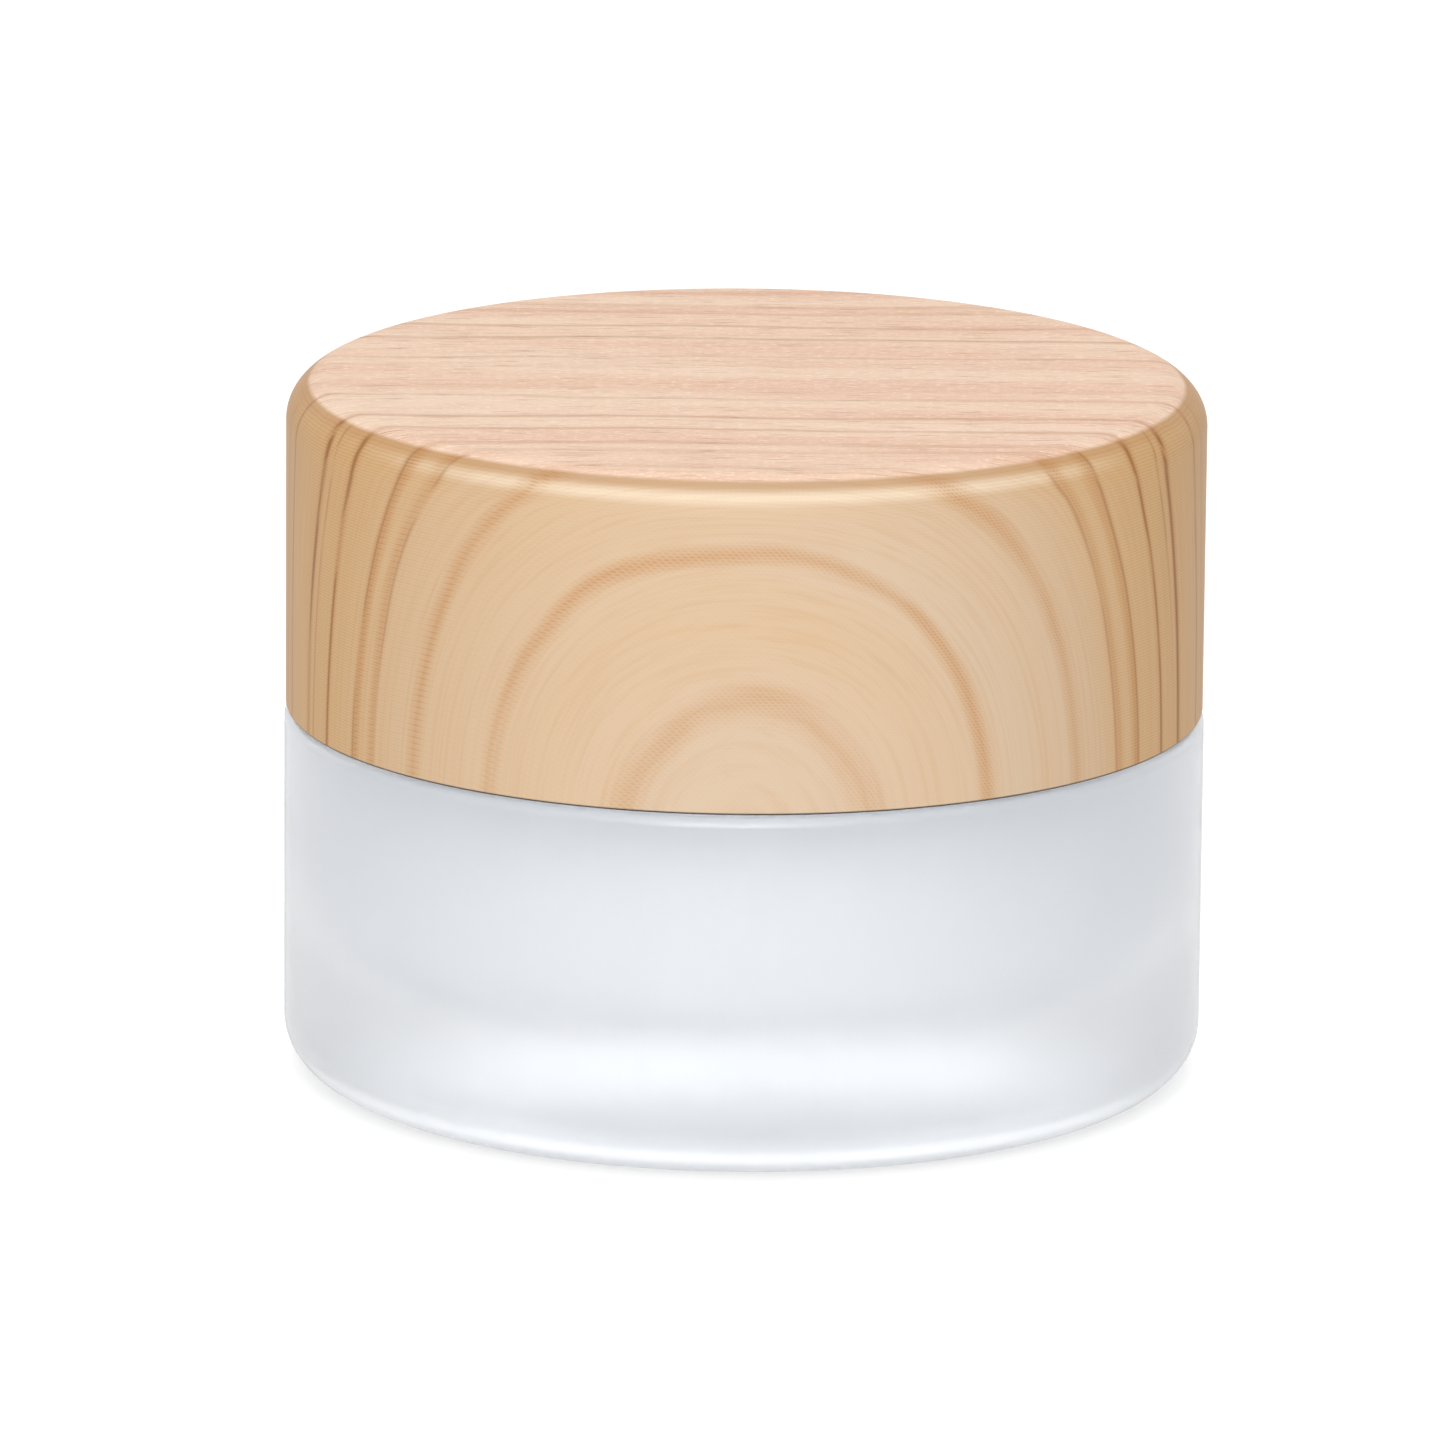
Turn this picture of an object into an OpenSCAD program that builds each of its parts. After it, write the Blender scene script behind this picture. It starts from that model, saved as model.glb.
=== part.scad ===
// Low cosmetic cream jar: a thick-walled frosted glass pot, a dished sealing disc in its
// mouth, and a double-walled screw lid made of an outer shell, a threaded insert and a liner.
// Millimetres, +Z up. The origin is the centre of the jar's foot, and the front is -Y.

/* [Glass jar] */
// Outer diameter of the glass body
jar_d = 63.2; // [50:0.1:90]
// Height of the glass body from its foot to the shoulder
body_h = 25.2; // [20:0.1:60]
// Thickness of the glass under the cream well
base_t = 7.4; // [4:0.1:12]
// Round along the bottom edge of the body
foot_round = 3.6; // [1:0.1:5]
// Round along the outer edge of the shoulder
shoulder_round = 0.7; // [0.2:0.1:1.5]
// Round between the floor and the wall of the cream well
well_round = 6; // [1:0.1:10]
// Width of the flat bearing ring of the foot
foot_ring_w = 4.2; // [2:0.1:8]
// Rise of the hollow inside the bearing ring, at its centre
push_up_h = 1.1; // [0.3:0.1:2]

/* [Neck] */
// Width of the shoulder, from the body's side to the neck's side
shoulder_w = 7; // [5.8:0.1:11]
// Height of the neck above the shoulder
neck_h = 11; // [8:0.1:13.5]
// Thickness of the neck's wall
neck_wall = 3.3; // [2:0.1:5]
// Round on both edges of the lip
lip_round = 0.8; // [0.2:0.1:0.9]
// Hollow round where the neck meets the shoulder
neck_fillet = 0.6; // [0.2:0.1:1]

/* [Thread] */
// Rise of the lid in one turn
thread_lead = 4.2; // [3.4:0.1:6]
// Height of the thread above the wall that it stands on
thread_depth = 1.2; // [0.6:0.1:1.6]
// Width of the neck's thread at its foot
thread_w = 2.2; // [1:0.1:2.6]
// Plain stretch of neck below the thread
thread_low = 1.9; // [1:0.1:2.5]
// Plain stretch of neck between the thread and the lip
thread_high = 1.65; // [1:0.05:2.5]

/* [Lid shell] */
// Height of the lid from its lower edge to its top face
lid_h = 22.85; // [19:0.05:50]
// Thickness of the shell's side
shell_wall = 1.5; // [1:0.1:2]
// Thickness of the shell's top
shell_top = 1.8; // [1:0.1:2]
// Round along the top edge of the lid
lid_round = 2.9; // [1.5:0.1:5]
// Round along the lower edge of the lid
edge_round = 0.25; // [0.1:0.05:0.4]
// How far the lid's side stands inside the jar's side
lid_step = 0.1; // [0:0.05:0.5]
// Reach of the snap bead that holds the insert in the shell
bead_reach = 0.35; // [0.2:0.05:0.5]
// Number of drive lugs inside the shell
lug_count = 8; // [4:1:12]
// Reach of a drive lug from the shell's inner wall
lug_reach = 0.8; // [0.4:0.1:0.9]
// Width of a drive lug
lug_w = 1.2; // [0.8:0.1:2]

/* [Lid insert] */
// Thickness of the insert's skirt
insert_wall = 1.4; // [1:0.1:1.7]
// Thickness of the insert's top plate
insert_top = 1.5; // [1:0.1:2]
// Thickness of the flange that closes the lid's underside
flange_t = 1.3; // [0.8:0.1:2]
// Depth of the flange above the lid's lower edge
flange_recess = 1.2; // [1.1:0.1:2]
// Width of a grip rib on the skirt
rib_w = 1; // [0.6:0.1:1.6]
// Thickness of the stiffening walls on the top plate
stay_w = 1.2; // [0.8:0.1:2]
// Outer diameter of the round stiffening wall on the top plate
stay_ring_d = 30; // [16:1:34]

/* [Sealing disc and liner] */
// Thickness of the sealing disc's sheet
disc_t = 0.8; // [0.5:0.1:1.2]
// Depth of the disc's dish below the lip of the jar
disc_depth = 3.2; // [2:0.1:5]
// Length of the lifting tab
tab_l = 13; // [6:0.5:20]
// Thickness of the lifting tab
tab_w = 1.3; // [0.8:0.1:2]
// Thickness of the lid's liner
liner_t = 1.2; // [0.6:0.1:2]

/* [Clearances] */
// Gap between the lid's lower edge and the shoulder
lid_gap = 0.25; // [0.1:0.05:0.5]
// Radial play between a thread's tip and the wall it faces
play_r = 0.3; // [0.1:0.05:0.5]
// Axial play on each side between the two threads
play_z = 0.25; // [0.1:0.05:0.3]
// Gap between the insert and the shell around it
snap_gap = 0.05; // [0:0.01:0.1]
// Gap between the disc's dish and the mouth of the jar
disc_fit = 0.2; // [0.1:0.05:0.5]
// Gap between the sealing disc and the liner when the lid is closed
seal_gap = 0.05; // [0.02:0.01:0.2]
// Gap between the liner's edge and the insert's skirt
liner_gap = 0.25; // [0.1:0.05:0.5]

/* [Hidden] */
$fn = 128;

// Overlap that joins two solids of one piece, or carries a cut past a face
bite = 0.4;
// How far the disc's flange and the liner's seat stay inside the neck's side
disc_inset = 0.3;

// Radii, from the outside in
jar_r = jar_d / 2;
lid_r = jar_r - lid_step;
shell_in_r = lid_r - shell_wall;
neck_r = jar_r - shoulder_w;
well_r = neck_r - neck_wall;
insert_in_r = neck_r + thread_depth + play_r;
insert_out_r = insert_in_r + insert_wall;
flange_r = shell_in_r - snap_gap;
foot_out_r = jar_r - foot_round;
push_up_r = foot_out_r - foot_ring_w;
disc_r = neck_r - disc_inset;
dish_r = well_r - disc_fit;
liner_r = insert_in_r - liner_gap;

// Heights, from the foot up
rim_z = body_h + neck_h;
lid_z = body_h + lid_gap;
lid_top_z = lid_z + lid_h;
flange_z = lid_z + flange_recess;
disc_top_z = rim_z + disc_t;
dish_z = rim_z - disc_depth;
liner_z = disc_top_z + seal_gap;
plate_z = liner_z + liner_t;
plate_top_z = plate_z + insert_top;
ceiling_z = lid_top_z - shell_top;
// Round inside the shell, under its rounded top edge
ceiling_round = max(bite, lid_round - shell_top);

// Threads: the lid's thread runs halfway between the turns of the neck's thread
thread_z = body_h + thread_low + thread_w / 2;
thread_turns = (neck_h - thread_low - thread_high - thread_w) / thread_lead;
lid_thread_w = thread_lead - thread_w - 2 * play_z;
lid_thread_z = thread_z - thread_lead / 2;
lid_thread_floor = flange_z + bite + lid_thread_w / 2;
lid_thread_start = max(0, (lid_thread_floor - lid_thread_z) / thread_lead);

// Sphere whose cap is the hollow of the foot
push_up_ball = (pow(push_up_r, 2) + pow(push_up_h, 2)) / (2 * push_up_h);

// Grip ribs on the insert, three for each drive lug, so that every lug falls between two
rib_count = 3 * lug_count;
rib_gap = 0.1;
// The liner rests on a small bead inside the insert
keeper_reach = 0.45;
keeper_round = 0.6;

// Half outline of a round block from z0 to z1, with its lower and upper edges rounded
module block_outline(r, z0, z1, low, high) {
    translate([0, z0 + low]) square([r, z1 - z0 - low - high]);
    if (low > 0) {
        translate([0, z0]) square([r - low, 2 * low]);
        translate([r - low, z0 + low]) circle(low);
    }
    if (high > 0) {
        translate([0, z1 - 2 * high]) square([r - high, 2 * high]);
        translate([r - high, z1 - high]) circle(high);
    }
}

// Half outline of a round bead that stands reach inside a wall of inner radius r
module inner_bead_outline(r, z, round_r, reach) {
    translate([r + round_r - reach, z]) circle(round_r);
}

// One ring of a thread's cross-section, as points in space. s runs over the thread's width
// from -1 to 1, and the height follows 1 - |s|^3. way is 1 for a thread that stands out
// from radius r and -1 for one that stands in.
thread_s = [-1, -0.86, -0.66, -0.4, 0, 0.4, 0.66, 0.86, 1];
thread_sink = 0.12;
function thread_height(s, depth) = -thread_sink + (depth + thread_sink) * (1 - pow(abs(s), 3));
function thread_ring(a, r, z, w, depth, way) = concat(
    [for (s = thread_s) let (q = r + way * thread_height(s, depth))
        [q * cos(a), q * sin(a), z + s * w / 2]],
    [for (s = [1, -1]) let (q = r - way * bite)
        [q * cos(a), q * sin(a), z + s * w / 2]]);

// Height of a thread near its ends, which rise out of the wall over fade degrees
function thread_rise(a, a0, a1, fade, depth) =
    let (f = min(1, min(a - a0, a1 - a) / fade))
    -thread_sink + (depth + thread_sink) * sin(90 * f);

// Helical thread from turn0 to turn1, whose centre line is at height z at turn 0
module thread(r, z, w, depth, way, turn0, turn1) {
    rings_per_turn = 72;
    fade = min(30, 120 * (turn1 - turn0));
    a0 = 360 * turn0;
    a1 = 360 * turn1;
    count = ceil((turn1 - turn0) * rings_per_turn);
    side = len(thread_s) + 2;
    rings = [for (i = [0:count]) let (a = a0 + (a1 - a0) * i / count)
        thread_ring(a, r, z + thread_lead * a / 360, w, thread_rise(a, a0, a1, fade, depth), way)];
    walls = [for (i = [0:count - 1], j = [0:side - 1])
        let (p = i * side + j, q = i * side + (j + 1) % side)
        each [[p, q, p + side], [q, q + side, p + side]]];
    start_cap = [[for (j = [side - 1:-1:0]) j]];
    end_cap = [[for (j = [0:side - 1]) count * side + j]];
    faces = concat(walls, start_cap, end_cap);
    polyhedron([for (ring = rings) each ring],
        way < 0 ? [for (f = faces) [for (k = [len(f) - 1:-1:0]) f[k]]] : faces);
}

// Thick glass pot with a stepped-in neck, a round-cornered well and a hollowed foot
module glass_jar() {
    color([0.90, 0.92, 0.95]) {
        difference() {
            rotate_extrude() difference() {
                union() {
                    block_outline(jar_r, 0, body_h, foot_round, shoulder_round);
                    block_outline(neck_r, body_h - bite, rim_z, 0, lip_round);
                    difference() {
                        translate([0, body_h - bite]) square([neck_r + neck_fillet, neck_fillet + bite]);
                        translate([neck_r + neck_fillet, body_h + neck_fillet]) circle(neck_fillet);
                    }
                }
                block_outline(well_r, base_t, rim_z + bite, well_round, 0);
                difference() {
                    translate([well_r - bite, rim_z - lip_round])
                        square([lip_round + bite, lip_round + bite]);
                    translate([well_r + lip_round, rim_z - lip_round]) circle(lip_round);
                }
            }
            translate([0, 0, push_up_h - push_up_ball]) sphere(push_up_ball);
        }
        thread(neck_r, thread_z, thread_w, thread_depth, 1, 0, thread_turns);
    }
}

// Thin dished plug: its flange lies on the jar's lip and a tab stands in the dish
module sealing_disc() {
    color([0.95, 0.95, 0.93]) {
        rotate_extrude() difference() {
            union() {
                block_outline(dish_r, dish_z, disc_top_z - disc_t / 2, disc_t, 0);
                block_outline(disc_r, rim_z, disc_top_z, 0, disc_t / 4);
            }
            block_outline(dish_r - disc_t, dish_z + disc_t, disc_top_z + bite, disc_t / 2, 0);
        }
        translate([0, 0, dish_z + disc_t / 2])
            linear_extrude(disc_depth - disc_t / 2)
            union() {
                square([tab_l - tab_w, tab_w], center = true);
                for (side = [-1, 1]) translate([side * (tab_l - tab_w) / 2, 0]) circle(tab_w / 2);
            }
    }
}

// Foam washer-sheet disc pressed up against the insert's top plate
module cap_liner() {
    color([0.93, 0.93, 0.92])
        rotate_extrude() block_outline(liner_r, liner_z, plate_z, liner_t / 4, 0);
}

// Threaded inner cap with grip ribs on its skirt and stiffening walls on its top plate
module cap_insert() {
    keeper_z = liner_z - keeper_round;
    color([0.96, 0.96, 0.95]) {
        rotate_extrude() union() {
            difference() {
                union() {
                    block_outline(insert_out_r, flange_z, plate_top_z, 0, insert_top / 2);
                    block_outline(flange_r, flange_z, flange_z + flange_t, edge_round, edge_round);
                }
                translate([0, flange_z - bite]) square([insert_in_r, plate_z - flange_z + bite]);
            }
            inner_bead_outline(insert_in_r, keeper_z, keeper_round, keeper_reach);
        }
        for (i = [0:rib_count - 1]) rotate([0, 0, 360 * i / rib_count])
            translate([insert_out_r - bite, -rib_w / 2, flange_z + flange_t - bite])
            cube([shell_in_r - rib_gap - insert_out_r + bite, rib_w, plate_z - flange_z - flange_t + bite]);
        translate([0, 0, plate_top_z - bite]) difference() {
            cylinder(d = stay_ring_d, h = ceiling_z - plate_top_z + bite);
            translate([0, 0, -bite])
                cylinder(d = stay_ring_d - 2 * stay_w, h = ceiling_z - plate_top_z + 3 * bite);
        }
        for (i = [0:lug_count - 1]) rotate([0, 0, 360 * (i + 0.5) / lug_count])
            translate([stay_ring_d / 2 - stay_w / 2, -stay_w / 2, plate_top_z - bite])
            cube([insert_out_r - insert_top - (stay_ring_d - stay_w) / 2, stay_w,
                ceiling_z - plate_top_z + bite]);
        thread(insert_in_r, lid_thread_z, lid_thread_w, thread_depth, -1, lid_thread_start, thread_turns);
    }
}

// Straight-sided outer shell with a flat top, a snap bead and drive lugs between the ribs
module cap_shell() {
    bead_round = 0.5;
    bead_z = flange_z - snap_gap - bead_round;
    lug_z = flange_z + flange_t + bite;
    color([0.91, 0.79, 0.64]) {
        rotate_extrude() union() {
            difference() {
                block_outline(lid_r, lid_z, lid_top_z, edge_round, lid_round);
                block_outline(shell_in_r, lid_z - bite, ceiling_z, 0, ceiling_round);
            }
            inner_bead_outline(shell_in_r, bead_z, bead_round, bead_reach);
        }
        for (i = [0:lug_count - 1]) rotate([0, 0, 360 * (i + 0.5) / lug_count])
            translate([shell_in_r - lug_reach, -lug_w / 2, lug_z])
            cube([lug_reach + bite, lug_w, plate_z - lug_z]);
    }
}

glass_jar();
sealing_disc();
cap_liner();
cap_insert();
cap_shell();
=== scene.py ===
"""Looks of a low cosmetic cream jar: frosted glass pot, sealing disc and wood-film screw lid.

Every shape is a profile turned about the jar's axis, worked out as one grid of points. Places
come from the CAD frame's boxes. Lengths are in metres.
"""
import math
import bpy
import numpy as np
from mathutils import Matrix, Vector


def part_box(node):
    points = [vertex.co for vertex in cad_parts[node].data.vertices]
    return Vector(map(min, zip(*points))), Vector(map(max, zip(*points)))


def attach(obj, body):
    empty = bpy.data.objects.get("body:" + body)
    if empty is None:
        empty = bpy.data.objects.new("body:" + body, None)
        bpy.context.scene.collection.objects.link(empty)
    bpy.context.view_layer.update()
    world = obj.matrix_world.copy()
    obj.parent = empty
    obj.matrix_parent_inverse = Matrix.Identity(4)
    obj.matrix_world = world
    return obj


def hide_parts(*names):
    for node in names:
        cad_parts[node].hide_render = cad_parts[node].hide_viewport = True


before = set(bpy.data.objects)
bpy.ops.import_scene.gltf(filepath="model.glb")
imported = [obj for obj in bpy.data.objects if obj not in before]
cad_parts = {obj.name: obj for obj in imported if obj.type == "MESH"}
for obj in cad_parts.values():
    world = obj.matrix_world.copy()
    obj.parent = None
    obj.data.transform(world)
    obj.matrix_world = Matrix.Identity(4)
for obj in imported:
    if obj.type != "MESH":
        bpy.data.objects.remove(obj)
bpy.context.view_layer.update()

MM = 0.001

# ---------------------------------------------------------------- places from the CAD frame
jar_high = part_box("glass_jar")[1]
disc_low, disc_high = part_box("sealing_disc")
liner_low, liner_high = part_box("cap_liner")
insert_low, insert_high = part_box("cap_insert")
shell_low, shell_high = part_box("cap_shell")

JAR_R = jar_high[0]
RIM_Z = jar_high[2]
LID_R = shell_high[0]
LID_Z = shell_low[2]
LID_TOP_Z = shell_high[2]
DISC_R = disc_high[0]
DISH_Z = disc_low[2]
DISC_TOP_Z = disc_high[2]
LINER_R = liner_high[0]
LINER_Z = liner_low[2]
PLATE_Z = liner_high[2]
FLANGE_R = insert_high[0]
FLANGE_Z = insert_low[2]
CEILING_Z = insert_high[2]

# ---------------------------------------------------------------- sizes of the glass pot
BODY_H = LID_Z - 0.25 * MM
NECK_R = DISC_R + 0.3 * MM
WELL_R = NECK_R - 3.3 * MM
BASE_T = 7.4 * MM
WELL_ROUND = 6.0 * MM
FOOT_ROUND = 3.6 * MM
FOOT_RING_W = 4.2 * MM
PUSH_UP_H = 1.1 * MM

# ---------------------------------------------------------------- sizes of the threads
THREAD_LEAD = 4.2 * MM
THREAD_DEPTH = 1.2 * MM
THREAD_W = 2.2 * MM
THREAD_LOW = 1.9 * MM
THREAD_HIGH = 1.65 * MM
THREAD_PLAY_R = 0.3 * MM
THREAD_PLAY_Z = 0.25 * MM
NECK_H = RIM_Z - BODY_H
NECK_THREAD_Z = BODY_H + THREAD_LOW + THREAD_W / 2
THREAD_TURNS = (NECK_H - THREAD_LOW - THREAD_HIGH - THREAD_W) / THREAD_LEAD
LID_THREAD_W = THREAD_LEAD - THREAD_W - 2 * THREAD_PLAY_Z
LID_THREAD_Z = NECK_THREAD_Z - THREAD_LEAD / 2
LID_THREAD_START = (FLANGE_Z + 0.4 * MM + LID_THREAD_W / 2 - LID_THREAD_Z) / THREAD_LEAD

# ---------------------------------------------------------------- sizes of the lid
LID_ROUND = 2.9 * MM
SHELL_WALL = 1.5 * MM
SHELL_TOP = 1.8 * MM
SHELL_IN_R = LID_R - SHELL_WALL
INSERT_IN_R = NECK_R + THREAD_DEPTH + THREAD_PLAY_R
INSERT_OUT_R = INSERT_IN_R + 1.4 * MM
INSERT_TOP = 1.5 * MM
FLANGE_T = 1.3 * MM
RIB_COUNT = 24
LUG_COUNT = 8
STAY_R = 15.0 * MM
STAY_W = 1.2 * MM

# ---------------------------------------------------------------- sizes of the sealing disc
DISC_T = 0.8 * MM
DISH_R = WELL_R - 0.2 * MM
TAB_L = 13.0 * MM
TAB_W = 1.3 * MM

# ---------------------------------------------------------------- columns round each piece
WIDE_COLUMNS = 240
INSERT_COLUMNS = 288
DISC_COLUMNS = 192
TAB_COLUMNS = 64

# ---------------------------------------------------------------- the lid's film, in lid radii
FILM_TOP_EDGE = 1 - LID_ROUND / LID_R
FILM_SIDE_START = 1.091
FILM_STRETCH = 0.66
FILM_SLACK = 0.31


# ================================================================ shapes
def leg_points(a, b, step, near):
    """Points from a to b, b left out: evenly spaced at most step apart, with one extra point a
    distance near from each end, so that a flat stretch keeps flat shading beside a round."""
    a, b = np.asarray(a), np.asarray(b)
    length = np.linalg.norm(b - a)
    count = max(1, math.ceil(length / step))
    shares = np.arange(count) / count
    if length > 3 * near:
        shares = np.union1d(shares, [near / length, 1 - near / length])
    return a + (b - a) * shares[:, None]


def profile(corners, step=1.5 * MM, arc_turn=9.0):
    """Half outline through corners (r, z, fillet, step of the leg that follows): straight legs
    joined by arcs. An arc of radius q in a corner of angle w starts q / tan(w / 2) before it."""
    rows = [(*c, *([0.0, step][len(c) - 2:])) for c in corners]
    points = np.array([row[:2] for row in rows])
    starts, ends, arcs = [points[0]], [points[0]], [None]
    for i in range(1, len(rows) - 1):
        corner, q = points[i], rows[i][2]
        back = points[i - 1] - corner
        on = points[i + 1] - corner
        back, on = back / np.linalg.norm(back), on / np.linalg.norm(on)
        wide = math.acos(np.clip(back @ on, -1, 1))
        reach = q / math.tan(wide / 2) if q else 0.0
        starts.append(corner + back * reach)
        ends.append(corner + on * reach)
        middle = back + on
        size = np.linalg.norm(middle)
        bends = q and size > 1e-9
        arcs.append((corner + middle / size * q / math.sin(wide / 2), q) if bends else None)
    starts.append(points[-1])
    out = []
    for i in range(len(rows) - 1):
        if arcs[i]:
            centre, q = arcs[i]
            a0 = math.atan2(*(starts[i] - centre)[::-1])
            a1 = math.atan2(*(ends[i] - centre)[::-1])
            turn = (a1 - a0 + math.pi) % (2 * math.pi) - math.pi
            count = max(3, math.ceil(abs(math.degrees(turn)) / arc_turn))
            angles = a0 + turn * np.arange(count) / count
            out.append(centre + q * np.column_stack([np.cos(angles), np.sin(angles)]))
        out.append(leg_points(ends[i], starts[i + 1], rows[i][3], 0.12 * MM))
    out.append(points[-1:])
    return np.vstack(out)


def tube_faces(rows, columns):
    """Faces of a closed tube whose points are numbered row by row: a quad between neighbours of
    two rows, and at each end a fan to the end's own point, the last two of all."""
    i, j = np.meshgrid(np.arange(rows - 1) * columns, np.arange(columns), indexing="ij")
    k = (j + 1) % columns
    quads = np.stack([i + j, i + k, i + columns + k, i + columns + j], -1).reshape(-1, 4)
    j = np.arange(columns)
    k = (j + 1) % columns
    last_row = (rows - 1) * columns
    first = np.column_stack([np.full(columns, rows * columns), k, j])
    last = np.column_stack([np.full(columns, rows * columns + 1), last_row + j, last_row + k])
    return quads, np.vstack([first, last])


def turned(path, columns, swell=None):
    """Points and faces of a profile (N, 2) turned about Z, from axis to axis. A point is
    (r cos a, r sin a, z), with r made larger by swell(a, r, z). Each end is closed by a fan."""
    angles = np.arange(columns) / columns * 2 * math.pi
    r, z = path[1:-1, 0][:, None], path[1:-1, 1][:, None]
    a = angles[None, :]
    if swell is not None:
        r = r + swell(a, r, z)
    grid = np.stack([r * np.cos(a), r * np.sin(a), z + 0 * a + 0 * r], axis=-1).reshape(-1, 3)
    points = np.vstack([grid, [[0, 0, path[0, 1]]], [[0, 0, path[-1, 1]]]])
    return points, *tube_faces(len(path) - 2, columns)


def joined(parts):
    """Several (points, quads, triangles) as one, their point numbers shifted past each other."""
    points, quads, tris, base = [], [], [], 0
    for p, q, t in parts:
        points.append(p)
        quads.append(np.asarray(q).reshape(-1, 4) + base)
        tris.append(np.asarray(t).reshape(-1, 3) + base)
        base += len(p)
    return np.vstack(points), np.vstack(quads), np.vstack(tris)


def make_piece(name, shape, materials, slot_of_face=None):
    """A mesh object at the origin from (points, quads, triangles), smooth shaded."""
    points, quads, tris = shape
    mesh = bpy.data.meshes.new(name)
    mesh.vertices.add(len(points))
    mesh.vertices.foreach_set("co", points.astype(np.float32).ravel())
    corners = np.concatenate([quads.ravel(), tris.ravel()]).astype(np.int32)
    sizes = np.concatenate([np.full(len(quads), 4), np.full(len(tris), 3)]).astype(np.int32)
    mesh.loops.add(len(corners))
    mesh.loops.foreach_set("vertex_index", corners)
    mesh.polygons.add(len(sizes))
    mesh.polygons.foreach_set("loop_start", (np.cumsum(sizes) - sizes).astype(np.int32))
    mesh.polygons.foreach_set("loop_total", sizes)
    for material in materials:
        mesh.materials.append(material)
    if slot_of_face is not None:
        mesh.polygons.foreach_set("material_index", slot_of_face.astype(np.int32))
    mesh.update(calc_edges=True)
    mesh.validate()
    mesh.shade_smooth()
    piece = bpy.data.objects.new(name, mesh)
    bpy.context.scene.collection.objects.link(piece)
    return piece


def smooth_step(x):
    """0 below 0, 1 above 1 and 3x^2 - 2x^3 between."""
    x = np.clip(x, 0, 1)
    return x * x * (3 - 2 * x)


def thread_swell(z0, width, depth, turn0, turn1, r_low, r_high):
    """How far a helical thread stands out from a wall: depth * (1 - |s|^3), where s is the
    distance from the thread's centre line in half widths. The centre line climbs one lead a
    turn, and the thread rises out of the wall over a twelfth of a turn at each end."""
    def swell(a, r, z):
        out = np.zeros(np.broadcast(a, z).shape)
        on_wall = (r > r_low) & (r < r_high)
        for lap in range(math.floor(turn0), math.ceil(turn1) + 1):
            turn = a / (2 * math.pi) + lap
            s = np.abs(z - z0 - THREAD_LEAD * turn) / (width / 2)
            ends = smooth_step((turn - turn0) * 12) * smooth_step((turn1 - turn) * 12)
            out = np.maximum(out, depth * ends * np.clip(1 - s ** 3, 0, 1))
        return out * on_wall
    return swell


def glass_jar_shape():
    """The pot's outline: hollow foot, bearing ring, side, shoulder, neck, lip and well. The
    neck's stretch has close rows, because the thread swells out of it."""
    ring_out = JAR_R - FOOT_ROUND
    ring_in = ring_out - FOOT_RING_W
    ball = (ring_in ** 2 + PUSH_UP_H ** 2) / (2 * PUSH_UP_H)
    dome_r = np.linspace(0, ring_in, 14)[:-1]
    dome_z = PUSH_UP_H - ball + np.sqrt(ball ** 2 - dome_r ** 2)
    neck_step = 0.16 * MM
    path = profile([
        (ring_in, 0.0), (JAR_R, 0.0, FOOT_ROUND), (JAR_R, BODY_H, 0.7 * MM),
        (NECK_R, BODY_H, 0.6 * MM, neck_step), (NECK_R, RIM_Z, 0.8 * MM),
        (WELL_R, RIM_Z, 0.8 * MM), (WELL_R, BASE_T, WELL_ROUND), (0.0, BASE_T)], arc_turn=6.0)
    path = np.vstack([np.column_stack([dome_r, dome_z]), path])
    swell = thread_swell(NECK_THREAD_Z, THREAD_W, THREAD_DEPTH, 0.0, THREAD_TURNS,
                         NECK_R - 1e-6, NECK_R + 1e-6)
    shape = turned(path, WIDE_COLUMNS, swell)
    # Faces from the lip's crown inwards are the polished well
    lip_row = int(np.argmax(path[1:-1, 1] >= RIM_Z - 1e-7))
    in_well = np.arange(len(path) - 3) >= lip_row
    foot, floor = np.zeros(WIDE_COLUMNS), np.ones(WIDE_COLUMNS)
    return shape, np.concatenate([np.repeat(in_well, WIDE_COLUMNS), foot, floor])


def cap_shell_shape():
    """The lid shell's outline, from the ceiling's centre down the inside, round the lower edge
    and up the outside, with its snap bead and its rounded top edge."""
    bead_r = 0.35 * MM
    bead_z = FLANGE_Z - 0.55 * MM
    path = profile([
        (0.0, CEILING_Z), (SHELL_IN_R, CEILING_Z, LID_ROUND - SHELL_TOP),
        (SHELL_IN_R, bead_z + 0.45 * MM, 0.1 * MM),
        (SHELL_IN_R - bead_r, bead_z, 0.2 * MM), (SHELL_IN_R, bead_z - 0.45 * MM, 0.1 * MM),
        (SHELL_IN_R, LID_Z, 0.12 * MM), (LID_R, LID_Z, 0.25 * MM),
        (LID_R, LID_TOP_Z, LID_ROUND), (0.0, LID_TOP_Z)], arc_turn=5.0)
    lug_reach, lug_half = 0.8 * MM, 0.6 * MM
    lug_low = FLANGE_Z + FLANGE_T + 0.4 * MM

    def lugs(a, r, z):
        """Drive lugs stand in from the inner wall, square across the angle of their width."""
        share = a / (2 * math.pi) * LUG_COUNT
        off = np.abs(share - np.floor(share) - 0.5) * 2 * math.pi / LUG_COUNT * SHELL_IN_R
        tall = (z > lug_low) & (z < PLATE_Z) & (np.abs(r - SHELL_IN_R) < 1e-6)
        return -lug_reach * (off < lug_half) * tall
    # Faces before the lower edge are the bare inside, and the film covers the rest
    inside = np.arange(len(path) - 3) < int(np.argmin(path[1:-1, 1]))
    ceiling, top = np.ones(WIDE_COLUMNS), np.zeros(WIDE_COLUMNS)
    slots = np.concatenate([np.repeat(inside, WIDE_COLUMNS), ceiling, top])
    return turned(path, WIDE_COLUMNS, lugs), slots, path


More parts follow.
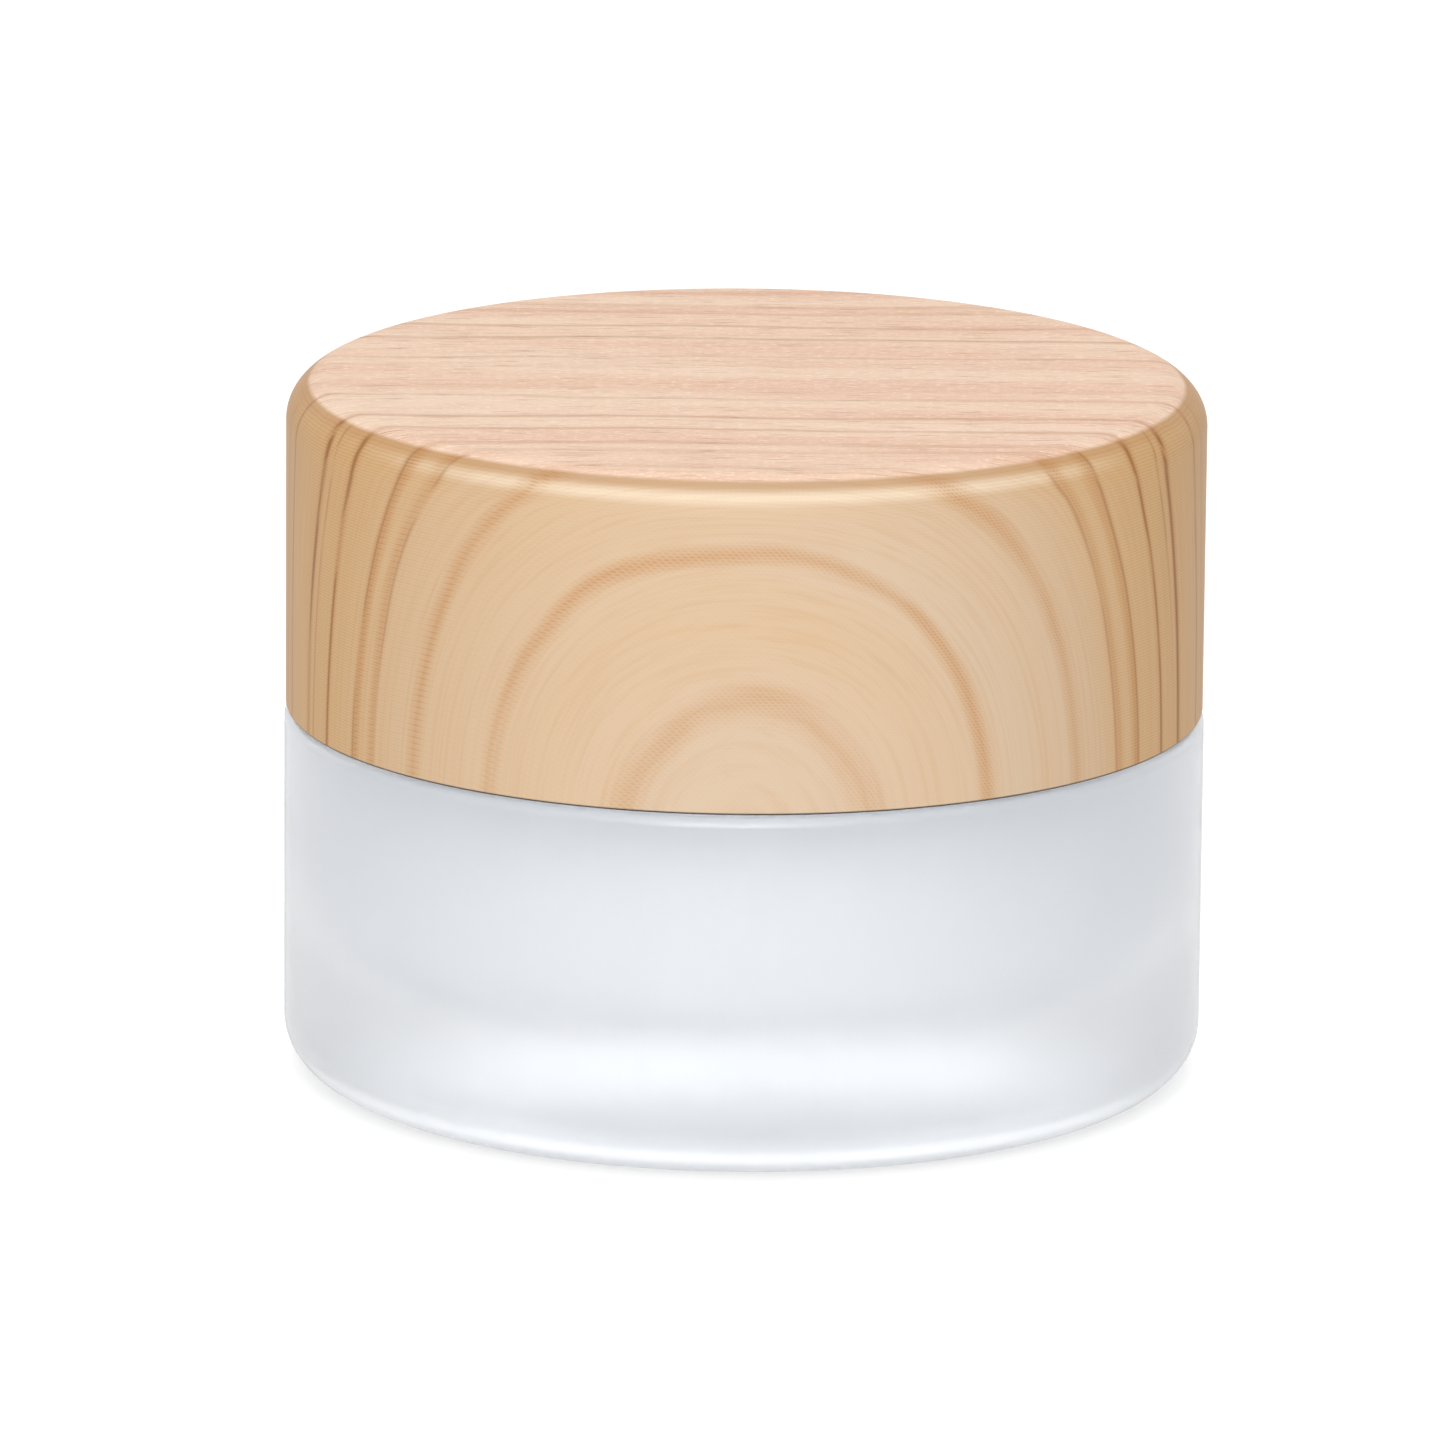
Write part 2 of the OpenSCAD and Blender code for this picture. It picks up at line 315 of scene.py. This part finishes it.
def cap_insert_shape():
    """The threaded inner cap: plate, liner bead, threaded bore, flange, ribbed skirt and the
    stiffening walls that stand on the plate."""
    keeper_z = LINER_Z - 0.6 * MM
    keeper_r = INSERT_IN_R - 0.45 * MM
    skirt_top = PLATE_Z + INSERT_TOP
    path = profile([
        (0.0, PLATE_Z), (INSERT_IN_R, PLATE_Z, 0.1 * MM),
        (INSERT_IN_R, keeper_z + 0.6 * MM, 0.1 * MM),
        (keeper_r, keeper_z, 0.3 * MM), (INSERT_IN_R, keeper_z - 0.6 * MM, 0.1 * MM, 0.16 * MM),
        (INSERT_IN_R, FLANGE_Z, 0.3 * MM), (FLANGE_R, FLANGE_Z, 0.25 * MM),
        (FLANGE_R, FLANGE_Z + FLANGE_T, 0.25 * MM), (INSERT_OUT_R, FLANGE_Z + FLANGE_T, 0.15 * MM),
        (INSERT_OUT_R, skirt_top, 0.75 * MM), (STAY_R, skirt_top, 0.2 * MM),
        (STAY_R, CEILING_Z, 0.15 * MM), (STAY_R - STAY_W, CEILING_Z, 0.15 * MM),
        (STAY_R - STAY_W, skirt_top, 0.2 * MM), (0.0, skirt_top)])
    thread = thread_swell(LID_THREAD_Z, LID_THREAD_W, THREAD_DEPTH, LID_THREAD_START, THREAD_TURNS,
                          INSERT_IN_R - 1e-6, INSERT_IN_R + 1e-6)
    rib_reach = SHELL_IN_R - 0.1 * MM - INSERT_OUT_R
    rib_low, rib_high = FLANGE_Z + FLANGE_T, PLATE_Z

    def relief(a, r, z):
        """The thread stands in from the bore, and the grip ribs stand out from the skirt."""
        share = a / (2 * math.pi) * RIB_COUNT
        off = np.abs(share - np.round(share)) * 2 * math.pi / RIB_COUNT * INSERT_OUT_R
        tall = (z > rib_low) & (z < rib_high) & (np.abs(r - INSERT_OUT_R) < 1e-6)
        return -thread(a, r, z) + rib_reach * (off < 0.5 * MM) * tall
    parts = [turned(path, INSERT_COLUMNS, relief)]
    out_r = INSERT_OUT_R - INSERT_TOP
    for i in range(LUG_COUNT):
        angle = 2 * math.pi * (i + 0.5) / LUG_COUNT
        low = skirt_top - 0.3 * MM
        parts.append(plate_wall(STAY_R - STAY_W / 2, out_r, low, CEILING_Z, STAY_W, angle))
    return joined(parts)


def plate_wall(r0, r1, z0, z1, width, angle):
    """An upright wall along a radius, from r0 to r1, with its long edges cut off: a ring of
    six outline points (y, z) carried from r0 to r1 and closed by its own end fans."""
    q = 0.15 * MM
    half = width / 2
    ring = np.array([(half, z0), (half, z1 - q), (half - q, z1),
                     (-half + q, z1), (-half, z1 - q), (-half, z0)])
    count = len(ring)
    ends = [np.column_stack([np.full(count, r), ring]) for r in (r0, r1)]
    middles = [np.array([[r, 0.0, (z0 + z1) / 2]]) for r in (r0, r1)]
    points = np.vstack(ends + middles)
    c, s = math.cos(angle), math.sin(angle)
    turn = np.array([[c, -s, 0], [s, c, 0], [0, 0, 1]])
    j = np.arange(count)
    k = (j + 1) % count
    quads = np.column_stack([j, k, count + k, count + j])
    tris = np.vstack([np.column_stack([np.full(count, 2 * count), k, j]),
                      np.column_stack([np.full(count, 2 * count + 1), count + j, count + k])])
    return points @ turn.T, quads, tris


def sealing_disc_shape():
    """The dished plug's outline, with two raised moulding rings on its floor, and the tab: a
    bar with round ends whose outline shrinks towards its top over a quarter circle."""
    floor_z = DISH_Z + DISC_T
    rim_in = DISH_R - DISC_T
    path = profile([
        (0.0, DISH_Z), (DISH_R, DISH_Z, 0.8 * MM),
        (DISH_R, RIM_Z, 0.1 * MM), (DISC_R, RIM_Z, 0.15 * MM),
        (DISC_R, DISC_TOP_Z, 0.25 * MM), (rim_in, DISC_TOP_Z, 0.3 * MM), (rim_in, floor_z, 0.6 * MM),
        (rim_in - 2.6 * MM, floor_z, 0.1 * MM), (rim_in - 2.8 * MM, floor_z + 0.15 * MM, 0.05 * MM),
        (rim_in - 3.2 * MM, floor_z + 0.15 * MM, 0.05 * MM), (rim_in - 3.4 * MM, floor_z, 0.1 * MM),
        (9.6 * MM, floor_z, 0.1 * MM), (9.4 * MM, floor_z + 0.12 * MM, 0.05 * MM),
        (9.1 * MM, floor_z + 0.12 * MM, 0.05 * MM), (8.9 * MM, floor_z, 0.1 * MM), (0.0, floor_z)])
    dish = turned(path, DISC_COLUMNS)
    height = RIM_Z - floor_z + 0.3 * MM
    q = 0.35 * MM
    falls = np.linspace(0, math.pi / 2, 7)
    levels = np.concatenate([[0.0, 0.3 * MM, height / 2], height - q + q * np.sin(falls)])
    shrink = np.concatenate([[-0.25 * MM, 0.0, 0.0], q * (1 - np.cos(falls))])
    a = np.arange(TAB_COLUMNS) / TAB_COLUMNS * 2 * math.pi
    straight = (TAB_L - TAB_W) / 2
    ring_r = (TAB_W / 2 - shrink)[:, None]
    x = ring_r * np.cos(a) + straight * np.tanh(6 * np.cos(a))
    y = ring_r * np.sin(a)
    z = (floor_z - 0.3 * MM + levels)[:, None] + 0 * a
    grid = np.stack([x, y, z], -1).reshape(-1, 3)
    points = np.vstack([grid, [[0, 0, z[0, 0]]], [[0, 0, z[-1, 0]]]])
    return joined([dish, (points, *tube_faces(len(levels), TAB_COLUMNS))])


def cap_liner_shape():
    """A thin foam disc with soft edges and the shallow ring that the sealing disc's flange has
    pressed into its underside."""
    dent = 0.06 * MM
    path = profile([
        (0.0, LINER_Z), (WELL_R + 0.2 * MM, LINER_Z, 0.1 * MM),
        (WELL_R + 0.7 * MM, LINER_Z + dent, 0.3 * MM),
        (NECK_R - 0.8 * MM, LINER_Z + dent, 0.3 * MM), (NECK_R - 0.2 * MM, LINER_Z, 0.1 * MM),
        (LINER_R, LINER_Z, 0.3 * MM), (LINER_R, PLATE_Z, 0.15 * MM), (0.0, PLATE_Z)])
    return turned(path, DISC_COLUMNS)


# ================================================================ materials
class Nodes:
    """Short forms for building one material's node tree."""

    def __init__(self, name):
        self.material = bpy.data.materials.new(name)
        self.material.use_nodes = True
        self.tree = self.material.node_tree
        self.surface = self.tree.nodes["Principled BSDF"]

    def add(self, kind, **settings):
        node = self.tree.nodes.new("ShaderNode" + kind)
        for key, value in settings.items():
            setattr(node, key, value)
        return node

    def feed(self, socket, value):
        """Links value when it is a socket, and sets it when it is a number or a colour."""
        if isinstance(value, bpy.types.NodeSocket):
            self.tree.links.new(value, socket)
        else:
            socket.default_value = value

    def math(self, operation, a, b=0.0):
        node = self.add("Math", operation=operation)
        self.feed(node.inputs[0], a)
        self.feed(node.inputs[1], b)
        return node.outputs[0]

    def noise(self, vector, scale, detail=2.0, roughness=0.5):
        node = self.add("TexNoise")
        self.feed(node.inputs["Vector"], vector)
        node.inputs["Scale"].default_value = scale
        node.inputs["Detail"].default_value = detail
        node.inputs["Roughness"].default_value = roughness
        return node.outputs["Fac"]

    def stretch(self, vector, scale):
        node = self.add("Mapping")
        self.feed(node.inputs["Vector"], vector)
        node.inputs["Scale"].default_value = scale
        return node.outputs["Vector"]

    def ramp(self, factor, stops):
        """Grey ramp with straight runs between stops (place, shade)."""
        node = self.add("ValToRGB")
        self.feed(node.inputs["Fac"], factor)
        elements = node.color_ramp.elements
        while len(elements) > 1:
            elements.remove(elements[-1])
        for i, (place, shade) in enumerate(stops):
            element = elements[0] if i == 0 else elements.new(place)
            element.position = place
            element.color = (shade, shade, shade, 1.0)
        return node.outputs["Color"]

    def range(self, value, low, high, out_low=0.0, out_high=1.0):
        node = self.add("MapRange", interpolation_type="SMOOTHSTEP")
        self.feed(node.inputs["Value"], value)
        limits = {"From Min": low, "From Max": high, "To Min": out_low, "To Max": out_high}
        for key, number in limits.items():
            node.inputs[key].default_value = number
        return node.outputs["Result"]

    def mix(self, factor, a, b):
        node = self.add("Mix", data_type="RGBA")
        self.feed(node.inputs["Factor"], factor)
        for socket, value in ((node.inputs[6], a), (node.inputs[7], b)):
            self.feed(socket, (*value, 1.0) if isinstance(value, tuple) else value)
        return node.outputs[2]

    def bump(self, height, distance, strength):
        node = self.add("Bump")
        node.inputs["Strength"].default_value = strength
        node.inputs["Distance"].default_value = distance
        self.feed(node.inputs["Height"], height)
        return node.outputs["Normal"]

    def finish(self, **values):
        """Sets the surface shader's sockets by name, underscores standing for spaces."""
        for key, value in values.items():
            socket = self.surface.inputs[key.replace("_", " ")]
            colour = isinstance(value, tuple) and socket.type == "RGBA"
            self.feed(socket, (*value, 1.0) if colour else value)
        return self.material


def frosted_glass():
    """Acid-frosted outside of the pot: rough glass with a faint milky share and fine etching."""
    n = Nodes("frosted_glass")
    place = n.add("TexCoord").outputs["Object"]
    fine = n.noise(place, 9000.0, 2.0)
    cloud = n.noise(place, 120.0, 3.0)
    rough = n.range(cloud, 0.3, 0.7, 0.30, 0.36)
    colour = n.mix(cloud, (0.945, 0.965, 1.0), (0.955, 0.975, 1.0))
    return n.finish(
        Base_Color=colour, Roughness=rough, IOR=1.5, Transmission_Weight=0.86,
        Normal=n.bump(fine, 0.00002, 0.5))


def polished_well():
    """Milky inside of the pot, glossy, with the slight waviness of pressed glass."""
    n = Nodes("polished_well")
    place = n.add("TexCoord").outputs["Object"]
    wave = n.noise(place, 70.0, 1.0)
    rough = n.range(wave, 0.3, 0.7, 0.05, 0.09)
    colour = n.mix(wave, (0.94, 0.955, 0.98), (0.95, 0.965, 0.99))
    return n.finish(
        Base_Color=colour, Roughness=rough, IOR=1.5,
        Normal=n.bump(wave, 0.00005, 0.4))


def moulded_plastic(name, tone, rough):
    """White moulded plastic: faint clouding, a fine spark-eroded grain and soft gloss."""
    n = Nodes(name)
    place = n.add("TexCoord").outputs["Object"]
    cloud = n.noise(place, 160.0, 3.0)
    grain = n.noise(place, 6000.0, 2.0)
    darker = tuple(c * 0.96 for c in tone)
    return n.finish(
        Base_Color=n.mix(cloud, darker, tone),
        Roughness=n.range(cloud, 0.3, 0.7, rough, rough + 0.08), IOR=1.49,
        Subsurface_Weight=0.12, Subsurface_Radius=(0.002, 0.002, 0.002), Subsurface_Scale=1.0,
        Normal=n.bump(grain, 0.00002, 0.35))


def liner_foam():
    """Fine-celled foam with a smooth skin: small closed cells show as shallow dimples."""
    n = Nodes("liner_foam")
    place = n.add("TexCoord").outputs["Object"]
    cells = n.add("TexVoronoi", feature="SMOOTH_F1")
    n.feed(cells.inputs["Vector"], place)
    cells.inputs["Scale"].default_value = 2600.0
    cloud = n.noise(place, 300.0, 3.0)
    return n.finish(
        Base_Color=n.mix(cloud, (0.84, 0.84, 0.82), (0.90, 0.90, 0.89)),
        Roughness=n.range(cloud, 0.3, 0.7, 0.55, 0.7), IOR=1.45,
        Normal=n.bump(cells.outputs["Distance"], 0.00004, 0.6))


def wood_film():
    """Pale wood-grain film drawn over the lid: growth rings and pores follow the film's own
    coordinates, which run flat over the top and stretch down the side."""
    n = Nodes("wood_film")
    film = n.add("UVMap", uv_map="film").outputs["UV"]
    place = n.add("TexCoord").outputs["Object"]
    split = n.add("SeparateXYZ")
    n.feed(split.inputs[0], film)
    v = split.outputs["Y"]
    length = n.add("VectorMath", operation="LENGTH")
    n.feed(length.inputs[0], film)
    rho = length.outputs["Value"]
    side = n.range(rho, FILM_TOP_EDGE + 0.045, FILM_TOP_EDGE + 0.065)
    down = n.range(rho, FILM_TOP_EDGE, FILM_SIDE_START)
    flat = n.math("SUBTRACT", 1.0, side)

    # Film coordinate across the grain: the lines spread apart where the film leaves the top
    sign = n.math("SUBTRACT", n.range(v, -0.1, 0.1), 0.5)
    spread = n.math("MULTIPLY", sign, n.math("MULTIPLY", n.math("SUBTRACT", 1.0, down), 0.15))
    wander = n.noise(n.stretch(film, (0.9, 1.7, 1.0)), 1.3, 1.0)
    ripple = n.noise(n.stretch(film, (2.0, 7.0, 1.0)), 1.6, 2.0)
    across = n.math("ADD", v, spread)
    across = n.math("ADD", across, n.math("MULTIPLY", n.math("SUBTRACT", wander, 0.5), 0.10))
    across = n.math("ADD", across, n.math("MULTIPLY", n.math("SUBTRACT", ripple, 0.5), 0.022))
    away = n.math("ABSOLUTE", across)

    # Growth rings, each a (distance from the middle, half width, darkness): wide soft bands,
    # and thin dark lines that show where the side turns away
    reach = 1.45
    soft = ((0.18, 0.02, 0.3), (0.275, 0.02, 0.5), (0.465, 0.024, 0.9), (0.59, 0.022, 0.85),
            (0.735, 0.024, 0.9), (0.80, 0.022, 0.75), (0.945, 0.026, 0.75), (1.14, 0.022, 0.85),
            (1.305, 0.017, 0.65))
    core = ((0.20, 0.006, 0.35), (0.275, 0.008, 0.75), (0.468, 0.012, 1.0), (0.505, 0.006, 0.5),
            (0.59, 0.010, 0.85), (0.725, 0.007, 0.5), (0.81, 0.006, 0.35))

    def rings(table):
        stops = [(0.0, 0.0)]
        for at, half, dark in table:
            stops += [((at - half) / reach, 0.0), (at / reach, dark), ((at + half) / reach, 0.0)]
        return n.ramp(n.math("DIVIDE", away, reach), stops)
    fade = n.range(n.noise(n.stretch(film, (2.2, 5.0, 1.0)), 1.5, 2.0), 0.25, 0.6, 0.5, 1.0)
    broken = n.range(n.noise(n.stretch(film, (6.0, 26.0, 1.0)), 1.0, 2.0), 0.34, 0.52, 0.25, 1.0)
    bands = n.math("MULTIPLY", rings(soft), fade)
    cores = n.math("MULTIPLY", rings(core), broken)

    # Pores and fibres drawn out along the grain: dashes on the top, soft streaks on the side
    fibre = n.noise(n.stretch(film, (4.0, 130.0, 1.0)), 1.0, 3.0, 0.6)
    dashes = n.noise(n.stretch(film, (7.0, 135.0, 1.0)), 1.0, 3.0, 0.6)
    pores = n.range(dashes, 0.585, 0.66)
    specks = n.noise(n.stretch(film, (42.0, 210.0, 1.0)), 1.0, 2.0, 0.7)
    relief_and_glint_flecks = n.range(specks, 0.52, 0.66)
    broad = n.noise(n.stretch(film, (0.5, 5.5, 1.0)), 1.0, 2.0)

    # Painted glints: the near-white fleck colour on the next line lights the top's embossed flecks
    top_light, top_pink, painted_glint_colour = (0.83, 0.615, 0.465), (0.785, 0.520, 0.385), (0.96, 0.80, 0.66)
    # Painted shade: the side's tan colours below darken it towards its left and right
    side_light, side_tan = (0.550, 0.420, 0.300), (0.560, 0.352, 0.165)
    # Painted highlight: the pale colour on the next line lightens the round of the top edge
    painted_edge_shade, painted_highlight_pale = (0.50, 0.275, 0.095), (0.86, 0.74, 0.58)
    orange, line_dark = (0.42, 0.185, 0.050), (0.19, 0.056, 0.010)
    # Painted shade: the near-black on the next line darkens the lid's lower edge
    top_line, painted_gap_shade = (0.40, 0.175, 0.100), (0.060, 0.050, 0.045)
    top = n.mix(n.range(broad, 0.38, 0.62), top_light, top_pink)
    # Painted glints: the top's embossed flecks are coloured near-white as if they caught the light;
    # the same flecks also raise the bump relief below
    top = n.mix(n.math("MULTIPLY", relief_and_glint_flecks, 0.75), top, painted_glint_colour)
    # Painted shade: towards +x and -x, where the film's v is near 0, the side turns from the pale tan
    # to the darker tan and at the very sides to an edge tan, standing for the shade where the lid
    # turns away from the lamps; the broad mottle towards the darker tan is the film's own tone
    flank_shade_share = n.range(away, 0.45, 1.15, 1.0, 0.0)
    flank = n.mix(flank_shade_share, side_light, side_tan)
    flank = n.mix(n.range(broad, 0.3, 0.7, 0.0, 0.3), flank, side_tan)
    flank = n.mix(n.range(away, 0.10, 0.42, 1.0, 0.0), flank, painted_edge_shade)
    colour = n.mix(side, top, flank)
    # Painted shade: a thin darker orange band where the top turns into the side stands for the shade
    # of a recess at the fold
    fold_shade_band = n.range(rho, FILM_TOP_EDGE + 0.07, FILM_TOP_EDGE + 0.10, 0.30, 0.0)
    painted_fold_shade = n.math("MULTIPLY", side, fold_shade_band)
    colour = n.mix(painted_fold_shade, colour, orange)
    # Painted highlight: a pale band on the lower part of the top edge's round, strongest in front and
    # behind, stands for the lamps' gloss there
    highlight_rho = FILM_TOP_EDGE + 0.106
    drawn = n.math("SUBTRACT", n.range(rho, highlight_rho - 0.03, highlight_rho), n.range(rho, highlight_rho, highlight_rho + 0.03))
    drawn = n.math("MULTIPLY", drawn, n.range(away, 0.55, 0.95, 0.0, 0.5))
    colour = n.mix(drawn, colour, painted_highlight_pale)

    # Dots of the print: fine level bands crossed by slanting ones
    def print_bands(direction, scale, distortion):
        wave = n.add("TexWave", wave_type="BANDS", bands_direction=direction, wave_profile="SIN")
        n.feed(wave.inputs["Vector"], place)
        settings = {"Scale": scale, "Distortion": distortion, "Detail": 1.0, "Detail Scale": 0.3}
        for key, number in settings.items():
            wave.inputs[key].default_value = number
        return wave.outputs["Fac"]
    raster = print_bands("Z", 1500.0, 2.5)
    slant = print_bands("DIAGONAL", 1500.0, 1.2)
    dots = n.math("MULTIPLY", raster, slant)
    dotted = n.math("MULTIPLY", side, n.math("ADD", n.math("MULTIPLY", dots, 0.5), 0.5))
    bands = n.math("MULTIPLY", bands, n.math("ADD", n.math("MULTIPLY", flat, 0.30), dotted))
    cores = n.math("MULTIPLY", cores, n.math("SUBTRACT", 0.95, n.math("MULTIPLY", flat, 0.60)))
    colour = n.mix(bands, colour, orange)
    colour = n.mix(cores, colour, n.mix(flat, line_dark, top_line))
    colour = n.mix(n.math("MULTIPLY", n.range(fibre, 0.42, 0.70), 0.13), colour, orange)
    pore_share = n.math("ADD", n.math("MULTIPLY", flat, 0.46), 0.06)
    colour = n.mix(n.math("MULTIPLY", pores, pore_share), colour, top_line)
    ripples = n.math("MULTIPLY", raster, n.math("MULTIPLY", side, flank_shade_share))
    colour = n.mix(n.math("MULTIPLY", ripples, 0.28), colour, orange)
    colour = n.mix(n.math("MULTIPLY", dots, n.math("MULTIPLY", side, 0.07)), colour, orange)

    # Painted shade: a thin near-black band along the lid's lower edge stands for the shade in the gap
    # between lid and jar
    height_z = n.add("SeparateXYZ")
    n.feed(height_z.inputs[0], place)
    cut = n.range(height_z.outputs["Z"], LID_Z + 0.10 * MM, LID_Z + 0.22 * MM, 1.0, 0.0)
    colour = n.mix(cut, colour, painted_gap_shade)

    # Embossed pores on the top, the print's faint relief on the side
    height = n.math("MULTIPLY", flat, n.math("SUBTRACT", n.math("ADD", relief_and_glint_flecks, fibre), pores))
    height = n.math("ADD", height, n.math("MULTIPLY", ripples, 0.12))
    # The embossed top is matt, and the smooth side has a soft gloss
    rough = n.math("ADD", n.range(fibre, 0.3, 0.7, 0.36, 0.44), n.math("MULTIPLY", flat, 0.28))
    return n.finish(
        Base_Color=colour, Roughness=rough, IOR=1.45, Specular_IOR_Level=0.12,
        Normal=n.bump(height, 0.00005, 0.55))


# ================================================================ pieces
def add_film_map(piece, path):
    """Writes the film coordinates, in lid radii. The film's radius is r on the flat top. On the
    side it is 1 + stretch t - slack t^2, where t is the depth as a share of the lid's height,
    and round the top edge it grows evenly with the angle turned. A point at angle a has film
    coordinates (radius cos a, radius sin a)."""
    z = path[1:-1, 1]
    r = path[1:-1, 0]
    depth = (LID_TOP_Z - z) / (LID_TOP_Z - LID_Z)
    t_side = LID_ROUND / (LID_TOP_Z - LID_Z)
    stretched = 1 + FILM_STRETCH * depth - FILM_SLACK * depth ** 2
    start = 1 + FILM_STRETCH * t_side - FILM_SLACK * t_side ** 2
    turn = np.arccos(np.clip(1 - (LID_TOP_Z - z) / LID_ROUND, -1, 1)) / (math.pi / 2)
    on_round = FILM_TOP_EDGE + (start - FILM_TOP_EDGE) * turn
    radius = np.where(depth >= t_side, stretched, np.where(z < LID_TOP_Z - 1e-7, on_round, r / LID_R))
    a = np.arange(WIDE_COLUMNS) / WIDE_COLUMNS * 2 * math.pi
    grid = np.stack([radius[:, None] * np.cos(a), radius[:, None] * np.sin(a)], -1).reshape(-1, 2)
    film = np.vstack([grid, [[0.0, 0.0]], [[0.0, 0.0]]])
    mesh = piece.data
    corner = np.empty(len(mesh.loops), np.int32)
    mesh.loops.foreach_get("vertex_index", corner)
    layer = mesh.uv_layers.new(name="film")
    layer.uv.foreach_set("vector", film[corner].astype(np.float32).ravel())


def place_piece(piece, body, node):
    """Rides on the CAD body and stands for the CAD node, which it hides."""
    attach(piece, body)
    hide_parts(node)


shape, well_slots = glass_jar_shape()
jar = make_piece("jar_glass", shape, [frosted_glass(), polished_well()], well_slots)
place_piece(jar, "jar", "glass_jar")

disc_material = moulded_plastic("disc_plastic", (0.86, 0.86, 0.84), 0.38)
disc = make_piece("dished_disc", sealing_disc_shape(), [disc_material])
place_piece(disc, "disc", "sealing_disc")

liner = make_piece("foam_liner", cap_liner_shape(), [liner_foam()])
place_piece(liner, "lid_lift", "cap_liner")

insert_material = moulded_plastic("insert_plastic", (0.88, 0.88, 0.87), 0.28)
insert = make_piece("threaded_insert", cap_insert_shape(), [insert_material])
place_piece(insert, "lid", "cap_insert")

shape, shell_slots, shell_path = cap_shell_shape()
shell_materials = [wood_film(), moulded_plastic("shell_plastic", (0.80, 0.79, 0.76), 0.35)]
shell = make_piece("wood_film_shell", shape, shell_materials, shell_slots)
add_film_map(shell, shell_path)
place_piece(shell, "lid", "cap_shell")


# ================================================================ studio
def make_floor():
    """A wide pale floor with a barely visible mottling. It glows evenly, less under and just round
    the jar's foot: a painted contact shadow.
    """
    half = 3.0
    points = np.array([(-half, -half, 0), (half, -half, 0), (half, half, 0), (-half, half, 0)], float)
    n = Nodes("studio_floor")
    place = n.add("TexCoord").outputs["Object"]
    cloud = n.noise(place, 4.0, 2.0)
    away = n.add("VectorMath", operation="LENGTH")
    n.feed(away.inputs[0], place)
    # Painted shadow: the floor's glow drops under and just round the jar's foot
    glow_and_painted_shadow = n.range(away.outputs["Value"], JAR_R - 3.5 * MM, JAR_R + 1.5 * MM, 0.64, 0.85)
    n.finish(Base_Color=n.mix(cloud, (0.24, 0.24, 0.24), (0.26, 0.26, 0.26)), Roughness=0.9,
             Emission_Color=(1.0, 1.0, 1.0), Emission_Strength=glow_and_painted_shadow)
    no_tris = np.empty((0, 3), int)
    floor = make_piece("floor", (points, np.array([[0, 1, 2, 3]]), no_tris), [n.material])


def make_light(name, azimuth, elevation, distance, size, watts):
    """A square soft light that looks at the jar's middle from an angle round it, 0 in front."""
    lamp = bpy.data.lights.new(name, "AREA")
    lamp.energy = watts
    lamp.size = size
    lamp_object = bpy.data.objects.new(name, lamp)
    bpy.context.scene.collection.objects.link(lamp_object)
    az, el = math.radians(azimuth), math.radians(elevation)
    way = np.array([math.sin(az) * math.cos(el), -math.cos(az) * math.cos(el), math.sin(el)])
    lamp_object.location = way * distance + np.array([0, 0, LID_TOP_Z / 2])
    lamp_object.rotation_euler = (math.pi / 2 - el, 0.0, az)
    return lamp_object


def make_world(dim, bright):
    """Soft surroundings: dim in front and at the sides, bright behind the jar."""
    world = bpy.data.worlds.new("studio_world")
    world.use_nodes = True
    tree = world.node_tree
    background = tree.nodes["Background"]
    background.inputs["Color"].default_value = (1.0, 1.0, 1.0, 1.0)
    split = tree.nodes.new("ShaderNodeSeparateXYZ")
    shade = tree.nodes.new("ShaderNodeMapRange")
    shade.interpolation_type = "SMOOTHSTEP"
    for key, number in (("From Min", 0.1), ("From Max", 0.95), ("To Min", dim), ("To Max", bright)):
        shade.inputs[key].default_value = number
    tree.links.new(tree.nodes.new("ShaderNodeTexCoord").outputs["Generated"], split.inputs[0])
    tree.links.new(split.outputs["Y"], shade.inputs["Value"])
    tree.links.new(shade.outputs["Result"], background.inputs["Strength"])
    bpy.context.scene.world = world


def make_camera():
    """A long lens, 14 degrees above the jar, aimed so that the jar sits slightly right of the
    middle and just below it."""
    distance = 30 * LID_R
    elevation = math.radians(14.0)
    frame_width = 3.155 * LID_R
    aim = np.array([-1.48 * MM, 0.0, 24.0 * MM])
    data = bpy.data.cameras.new("camera")
    data.sensor_width = 36.0
    data.lens = 36.0 * distance / frame_width
    data.clip_start, data.clip_end = 0.01, 20.0
    camera = bpy.data.objects.new("camera", data)
    bpy.context.scene.collection.objects.link(camera)
    camera.location = aim + distance * np.array([0, -math.cos(elevation), math.sin(elevation)])
    camera.rotation_mode = "ZXY"
    camera.rotation_euler = (math.pi / 2 - elevation, 0.0, math.radians(0.5))
    bpy.context.scene.camera = camera


make_floor()
make_world(0.26, 1.3)
make_light("key_light", -4, 30, 1.2, 0.7, 12.4)
make_light("back_light", 180, 40, 1.4, 1.2, 2.0)
make_light("top_light", 0, 82, 1.2, 0.7, 3.0)
make_camera()
bpy.context.scene.view_settings.view_transform = "Standard"
